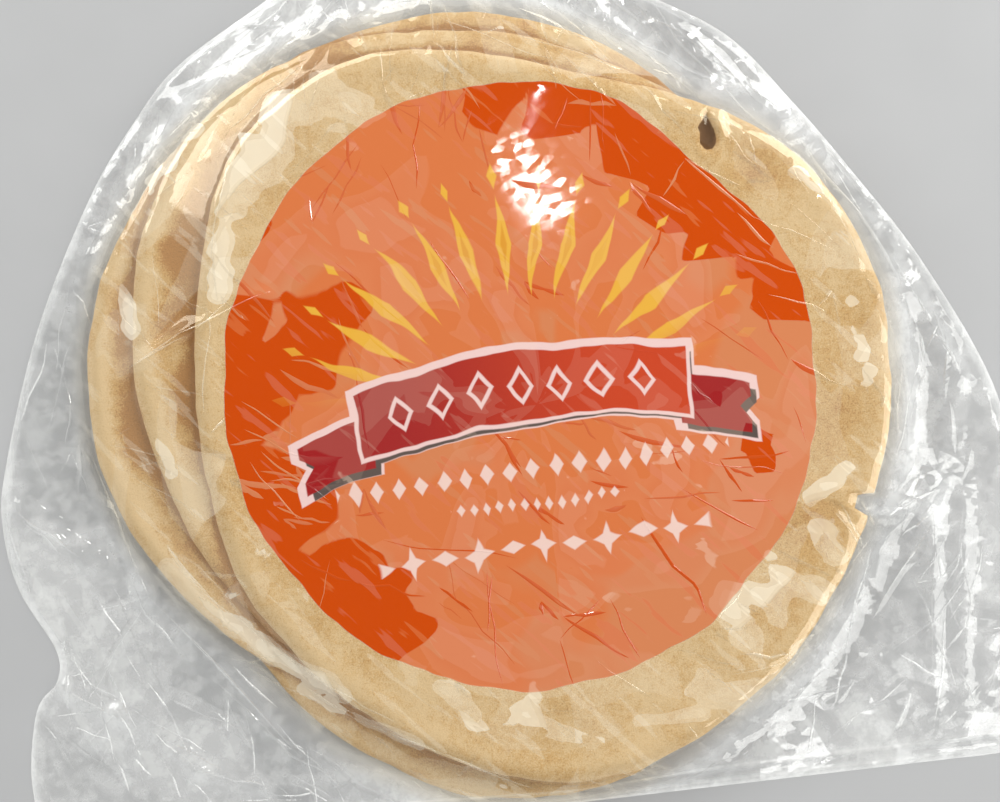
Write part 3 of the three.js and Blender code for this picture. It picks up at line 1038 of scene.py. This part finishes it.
# %% [markdown]
# The print.
# The print is drawn from simple shapes, each as a formula of the distance to its edge: a round orange
# field, a fan of pointed yellow rays, a bent red banner with swallow tails, and rows of small pale
# lozenges. It is printed on the film, so it is deep orange where the film clings to the bread and paler
# where air lies under it.

# %% The print's group and colours
print_group, n, given, out = new_group(
    "Print", [("Place", VECTOR, None), ("Touch", FLOAT, 0.0), ("Veil", FLOAT, 0.0), ("Milk", FLOAT, 0.0),
              ("Wrinkle", FLOAT, 0.5)],
    [("Color", COLOUR), ("Mask", FLOAT)])
ORANGE_TIGHT, ORANGE_LOOSE = (0.575, 0.062, 0.0, 1), (0.65, 0.168, 0.048, 1)
ORANGE_VEILED, ORANGE_DEEPER = (0.62, 0.205, 0.08, 1), (0.62, 0.115, 0.018, 1)
BANNER_RED, BANNER_LIGHT = (0.33, 0.012, 0.014, 1), (0.55, 0.05, 0.012, 1)
BANNER_EDGE, BANNER_SHADE = (0.80, 0.56, 0.52, 1), (0.10, 0.075, 0.065, 1)
RAY_YELLOW, RAY_MIDDLE, PALE_INK = (0.76, 0.40, 0.045, 1), (0.66, 0.27, 0.02, 1), (0.80, 0.56, 0.48, 1)

# %% The place on the print
PRINT_TURN = math.radians(1.7)
WAVER = 7.0
split = n.add("ShaderNodeSeparateXYZ", Vector=given["Place"])
cosine, sine = math.cos(PRINT_TURN), math.sin(PRINT_TURN)
warp = n.add("ShaderNodeTexNoise", {"noise_dimensions": "2D"}, Vector=given["Place"], Scale=0.03, Detail=2.0)
warp = n.add("ShaderNodeSeparateXYZ", Vector=warp.outputs[1])
from_x = n.minus(split.outputs[0], PRINT_CENTRE[0])
from_y = n.minus(split.outputs[1], PRINT_CENTRE[1])
u = n.plus(n.times(from_x, cosine), n.times(from_y, sine))
v = n.minus(n.times(from_y, cosine), n.times(from_x, sine))
u = n.plus(u, n.math("MULTIPLY_ADD", warp.outputs[0], WAVER, -WAVER / 2))
v = n.plus(v, n.math("MULTIPLY_ADD", warp.outputs[1], WAVER, -WAVER / 2))


# %% Shapes as distances
def length_of(a, b):
    return n.math("SQRT", n.plus(n.times(a, a), n.times(b, b)))


def inked(distance, soft=0.35):
    """1 inside the shape whose signed distance this is, 0 outside."""
    return n.ramp(distance, -soft, soft, 1.0, 0.0)


def largest(*values):
    found = values[0]
    for value in values[1:]:
        found = n.math("MAXIMUM", found, value)
    return found


def nearest(*shapes):
    found = shapes[0]
    for shape in shapes[1:]:
        found = n.math("MINIMUM", found, shape)
    return found


def box_from(x, y, at_x, at_y, half_x, half_y):
    return largest(n.minus(n.math("ABSOLUTE", n.minus(x, at_x)), half_x),
                   n.minus(n.math("ABSOLUTE", n.minus(y, at_y)), half_y))


# %% The banner, the lozenges and the rays
BAND_HALF, BAND_THICK, ARCH = 70, 14, 0.0016
TAIL_AT, TAIL_HALF = (81, -8), (15, 10.5)
CUT_FROM, CUT_HALF = 98.0, 7.0


def bent(x, y):
    """The height over a shallow arch, which bends whatever is drawn with it."""
    return n.plus(y, n.times(n.times(x, x), ARCH))


def banner(x, y):
    """A bent band with a tail at each end that sits lower and is cut to a swallow's tail."""
    height = bent(x, y)
    side = n.math("ABSOLUTE", x)
    band = box_from(side, height, 0, 0, BAND_HALF, BAND_THICK)
    tail = box_from(side, height, *TAIL_AT, *TAIL_HALF)
    off_middle = n.math("ABSOLUTE", n.plus(height, -TAIL_AT[1]))
    cut = n.minus(CUT_HALF, n.plus(off_middle, n.minus(CUT_FROM, side)))
    return band, n.math("MAXIMUM", tail, cut)


def row_of_lozenges(x, y, at_y, half_length, pitch, half_width, half_height):
    """A row of small lozenges: x is folded into one pitch, and the row is cut off at both ends."""
    folded = n.math("PINGPONG", n.plus(x, pitch * 40), pitch / 2)
    across = n.over(n.math("ABSOLUTE", n.minus(y, at_y)), half_height)
    lozenge = n.minus(n.plus(n.over(folded, half_width), across), 1.0)
    ends = n.over(n.minus(n.math("ABSOLUTE", x), half_length), half_width)
    return n.times(n.math("MAXIMUM", lozenge, ends), min(half_width, half_height) * 0.8)


def fan_of_rays(x, y, from_radius, to_radius, half_width, pitch):
    """Pointed rays between two radii over the upper half: the angle is folded into one pitch."""
    radius = length_of(x, y)
    folded = n.math("PINGPONG", n.plus(n.math("ARCTAN2", y, x), math.radians(pitch * 40)),
                    math.radians(pitch) / 2)
    across = n.times(folded, radius)
    middle, half = (from_radius + to_radius) / 2, (to_radius - from_radius) / 2
    along = n.over(n.math("ABSOLUTE", n.minus(radius, middle)), half)
    ray = n.minus(n.plus(n.over(across, half_width), along), 1.0)
    above = n.minus(0.30, n.over(y, radius))
    return n.times(n.math("MAXIMUM", ray, above), half_width * 0.8)


# %% Lay the inks on each other
ink = n.blend(n.ramp(given["Veil"], 0.0, 0.12), ORANGE_LOOSE, ORANGE_VEILED)
ink = n.blend(n.ramp(given["Milk"], 0.0, 0.3, 0.0, 0.3), ink, ORANGE_DEEPER)
# Lighter and darker streaks along the long fine wrinkles are painted highlight and painted shade of soft
# folds, and the lighter streaks where the film touches the bread are painted glints.
ink = n.blend(n.ramp(given["Wrinkle"], 0.37, 0.34, 0.0, 0.7), ink, ORANGE_VEILED)
ink = n.blend(n.ramp(given["Wrinkle"], 0.63, 0.66, 0.0, 0.75), ink, ORANGE_DEEPER)
tight = n.blend(n.ramp(given["Wrinkle"], 0.32, 0.28, 0.0, 0.55), ORANGE_TIGHT, ORANGE_LOOSE)
ink = n.blend(given["Touch"], ink, tight)
sun_v = n.plus(v, 12.0)
rays = nearest(fan_of_rays(u, sun_v, 52, 92, 3.1, 11.25), fan_of_rays(u, sun_v, 96, 105, 1.8, 11.25))
ink = n.blend(inked(rays), ink, RAY_YELLOW)
ink = n.blend(inked(n.plus(rays, 1.5), 0.5), ink, RAY_MIDDLE)
band, tails = banner(u, v)
shade_band, shade_tails = banner(n.minus(u, 2.2), n.plus(v, 2.8))
red = n.blend(n.ramp(u, -60, 50), BANNER_RED, BANNER_LIGHT)
ink = n.blend(inked(n.minus(nearest(band, tails), 3.4)), ink, BANNER_EDGE)
ink = n.blend(inked(nearest(shade_band, shade_tails)), ink, BANNER_SHADE)
ink = n.blend(inked(tails), ink, BANNER_RED)
ink = n.blend(inked(n.minus(band, 1.6)), ink, BANNER_EDGE)
ink = n.blend(inked(band), ink, red)
on_band = row_of_lozenges(u, bent(u, v), 0, 62, 17.0, 6.4, 8.6)
outline = n.minus(n.math("ABSOLUTE", n.plus(on_band, 1.2)), 0.8)
ink = n.blend(inked(outline), ink, BANNER_EDGE)
rows = nearest(row_of_lozenges(u, v, -36, 84, 9.5, 3.0, 4.6), row_of_lozenges(u, v, -50, 36, 5.4, 1.7, 2.4),
               row_of_lozenges(u, v, -68, 70, 14.0, 5.6, 3.0), row_of_lozenges(u, v, -68, 70, 28.0, 2.4, 6.5))
ink = n.blend(inked(rows), ink, PALE_INK)
n.feed(out["Color"], ink)

# %% The print's edge
# The bread's sunk side pulls the round print in a little at its upper right.
DENT_AT, DENT_HALF, DENT_DEPTH = 44, 15, 7.0
around = n.math("ARCTAN2", v, u)
dent = n.times(n.minus(around, math.radians(DENT_AT)), 1 / math.radians(DENT_HALF))
dent = n.math("EXPONENT", n.times(n.times(dent, dent), -1.0))
dent = n.times(dent, DENT_DEPTH)
disc = n.minus(length_of(u, n.times(v, 0.975)), PRINT_RADIUS)
n.feed(out["Mask"], inked(n.plus(disc, dent), 0.3))

# %% [markdown]
# The film's material.
# One part of the light goes straight through, a little is mirrored, and the haze scatters the rest. So the
# shader's alpha is the sum of haze and mirror, and its metallic value is the mirror's share of that sum,
# because a metal mirrors and a non-metal scatters. Ink covers both. Light on its way to a lamp, or bouncing
# between dull surfaces, only gets a little weaker in the film, which renders faster.

# %% Film with and without the print
MIRROR = 0.075
SHADOW_OF_FILM, WHITENED_INK = (0.90, 0.90, 0.90, 1), (0.9, 0.66, 0.5, 1)
# Over the breads the haze is cream: painted light, standing for the breads' light scattered in the milky
# film.
HAZE_OVER_FLOOR, HAZE_LIT_BY_BREAD = (0.90, 0.90, 0.87, 1), (1.0, 0.90, 0.70, 1)
FILM_VALUES = ("loose", "clings", "milk", "veil", "glaze", "crest", "crumple", "knot")


def film_material(name, printed):
    material, nodes, output = new_material(name)
    place = nodes.place()
    kept = {name.title(): nodes.kept(name) for name in FILM_VALUES}
    haze_node = nodes.add("ShaderNodeGroup", {"node_tree": film_group}, Place=place, **kept)
    haze = haze_node.outputs["Haze"]
    share = nodes.plus(haze, MIRROR)
    metallic = nodes.over(MIRROR, share)
    colour = nodes.blend(nodes.kept("bread_glow"), HAZE_OVER_FLOOR, HAZE_LIT_BY_BREAD)
    if printed:
        ink = nodes.add("ShaderNodeGroup", {"node_tree": print_group}, Place=place,
                        Touch=haze_node.outputs["Touch"], Wrinkle=haze_node.outputs["Wrinkle"],
                        Veil=kept["Veil"], Milk=kept["Milk"])
        mask = ink.outputs["Mask"]
        whitened = nodes.blend(nodes.times(haze, 0.6), ink.outputs["Color"], WHITENED_INK)
        colour = nodes.blend(mask, colour, whitened)
        metallic = nodes.times(metallic, nodes.minus(1.0, mask))
        share = nodes.math("MAXIMUM", share, nodes.times(mask, 0.985))
    tilted = nodes.add("ShaderNodeVectorMath", {"operation": "ADD"})
    nodes.feed(tilted.inputs[0], nodes.add("ShaderNodeNewGeometry").outputs["Normal"])
    nodes.feed(tilted.inputs[1], haze_node.outputs["Tilt"])
    normal = nodes.add("ShaderNodeVectorMath", {"operation": "NORMALIZE"})
    nodes.feed(normal.inputs[0], tilted.outputs[0])
    shader = nodes.add("ShaderNodeBsdfPrincipled", Base_Color=colour, Roughness=0.055, IOR=1.6,
                       Metallic=metallic, Normal=normal.outputs[0])
    shader.inputs["Specular IOR Level"].default_value = 0.65
    grazing = nodes.add("ShaderNodeLayerWeight", Blend=0.25)
    share = nodes.math("MULTIPLY_ADD", grazing.outputs["Fresnel"], 0.3, share, clamp=True)
    nodes.feed(shader.inputs["Alpha"], share)
    thin_shadow = nodes.add("ShaderNodeBsdfTransparent", Color=SHADOW_OF_FILM)
    path = nodes.add("ShaderNodeLightPath")
    passing = nodes.math("MAXIMUM", path.outputs["Is Shadow Ray"], path.outputs["Is Diffuse Ray"])
    by_ray = nodes.add("ShaderNodeMixShader", Fac=passing)
    nodes.feed(by_ray.inputs[1], shader.outputs[0])
    nodes.feed(by_ray.inputs[2], thin_shadow.outputs[0])
    nodes.feed(output.inputs["Surface"], by_ray.outputs[0])
    return material


# %% Give the pieces their film
PLAIN_FILM, PRINTED_FILM = film_material("film_plain", False), film_material("film_printed", True)


def give_film(thing):
    """Printed film for the faces that lie within the print, plain film for the rest."""
    thing.data.materials.append(PLAIN_FILM)
    thing.data.materials.append(PRINTED_FILM)
    centres = np.empty(3 * len(thing.data.polygons), np.float32)
    thing.data.polygons.foreach_get("center", centres)
    x, y = centres.reshape(-1, 3)[:, :2].T / MM
    printed = np.hypot(x - PRINT_CENTRE[0], y - PRINT_CENTRE[1]) < PRINT_RADIUS + 8
    thing.data.polygons.foreach_set("material_index", printed.astype(np.int32))
    print(thing.name, "has", int(printed.sum()), "printed faces")


film_under.data.materials.append(PLAIN_FILM)
give_film(film_top)
give_film(film_creases)

# %% [markdown]
# Riding on the frame.
# The pack has no joints, so every piece rides on the one body. The upper film stands for the solid bag.

# %% Ride and replace
for thing in breads.values():
    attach(thing, "root")
for thing in (film_top, film_under, film_creases):
    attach(thing, "root")
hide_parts("bag")

# %% [markdown]
# Floor, light and camera.
# The pack lies on a plain pale floor. The camera looks straight down, turned a little as in the photo. A
# small key lamp stands where its mirror image falls on the knot of creases in the upper part of the print.
# Three wide soft lamps light the pack from the sides, and their images in the film are its pale streaks.
# The sky is bright near the horizon and nearly dark overhead, so that the film doesn't mirror it.

# %% The floor
FLOOR_GREY, FLOOR_PALER = (0.44, 0.44, 0.435, 1), (0.47, 0.47, 0.465, 1)


def make_floor():
    half, steps = 3000, 12
    ticks = np.linspace(-half, half, steps)
    grid = [(x, y, 0.0) for y in ticks for x in ticks]
    faces = [(j * steps + i, j * steps + i + 1, (j + 1) * steps + i + 1, (j + 1) * steps + i)
             for j in range(steps - 1) for i in range(steps - 1)]
    mesh = bpy.data.meshes.new("floor")
    mesh.from_pydata((np.array(grid) * MM).tolist(), [], faces)
    thing = bpy.data.objects.new("floor", mesh)
    bpy.context.scene.collection.objects.link(thing)
    material, nodes, output = new_material("floor_paint")
    shader = nodes.add("ShaderNodeBsdfPrincipled", Roughness=0.85)
    soft = nodes.noise(nodes.place(), 0.02)
    nodes.feed(shader.inputs["Base Color"], nodes.blend(soft, FLOOR_GREY, FLOOR_PALER))
    nodes.feed(output.inputs["Surface"], shader.outputs[0])
    mesh.materials.append(material)
    return thing


floor = make_floor()
print("the floor is", round(floor.dimensions.x, 1), "m wide")


# %% Lamps
def lamp(name, place, target, size, power, spin=0.0):
    """A rectangular soft lamp that faces target, spun about the line to it, in degrees."""
    light = bpy.data.lights.new(name, "AREA")
    light.shape, light.size, light.size_y, light.energy = "RECTANGLE", size[0], size[1], power
    thing = bpy.data.objects.new(name, light)
    thing.location = Vector(place) * MM
    facing = (Vector(target) - Vector(place)).to_track_quat("-Z", "Y")
    thing.rotation_euler = (facing @ Quaternion((0, 0, 1), math.radians(spin))).to_euler()
    bpy.context.scene.collection.objects.link(thing)


lamp("key", (103, 276, 1500), (20, 0, 0), (0.13, 0.04), 0.4, -40)
lamp("side_strip", (1100, 750, 900), (0, 0, 0), (0.6, 1.6), 13.5)
lamp("fill", (1500, -800, 1300), (0, 0, 0), (1.5, 1.5), 19.5)
lamp("window", (-800, 1300, 900), (0, 0, 0), (1.5, 0.9), 16)

world = bpy.data.worlds.new("studio")
bpy.context.scene.world = world
world.use_nodes = True
sky = Nodes(world.node_tree)
up = sky.add("ShaderNodeSeparateXYZ", Vector=sky.add("ShaderNodeTexCoord").outputs["Generated"])
brightness = sky.ramp(up.outputs[2], 0.35, 0.92, 1.12, 0.06)
sky.feed(world.node_tree.nodes["Background"].inputs["Strength"], brightness)
world.node_tree.nodes["Background"].inputs["Color"].default_value = (0.96, 0.98, 1.0, 1)
bpy.context.scene.view_settings.view_transform = "Standard"
lamps = [thing for thing in bpy.context.scene.objects if thing.type == "LIGHT"]
print("the scene has", len(lamps), "lamps")

# %% The camera
CAMERA_ABOVE = 560
CAMERA_XY = (1.7, -21.8)
CAMERA_TURN = -6.7
# The picture is this wide in millimetres at this height over the floor.
VIEW_WIDTH, VIEW_WIDTH_AT = 420, 28

camera_data = bpy.data.cameras.new("camera")
camera = bpy.data.objects.new("camera", camera_data)
bpy.context.scene.collection.objects.link(camera)
camera.location = Vector((*CAMERA_XY, CAMERA_ABOVE)) * MM
camera.rotation_euler = (0, 0, math.radians(CAMERA_TURN))
camera_data.lens = camera_data.sensor_width * (CAMERA_ABOVE - VIEW_WIDTH_AT) / VIEW_WIDTH
camera_data.clip_start = 0.01
bpy.context.scene.camera = camera
print("the camera's lens is", round(camera_data.lens, 1), "mm")
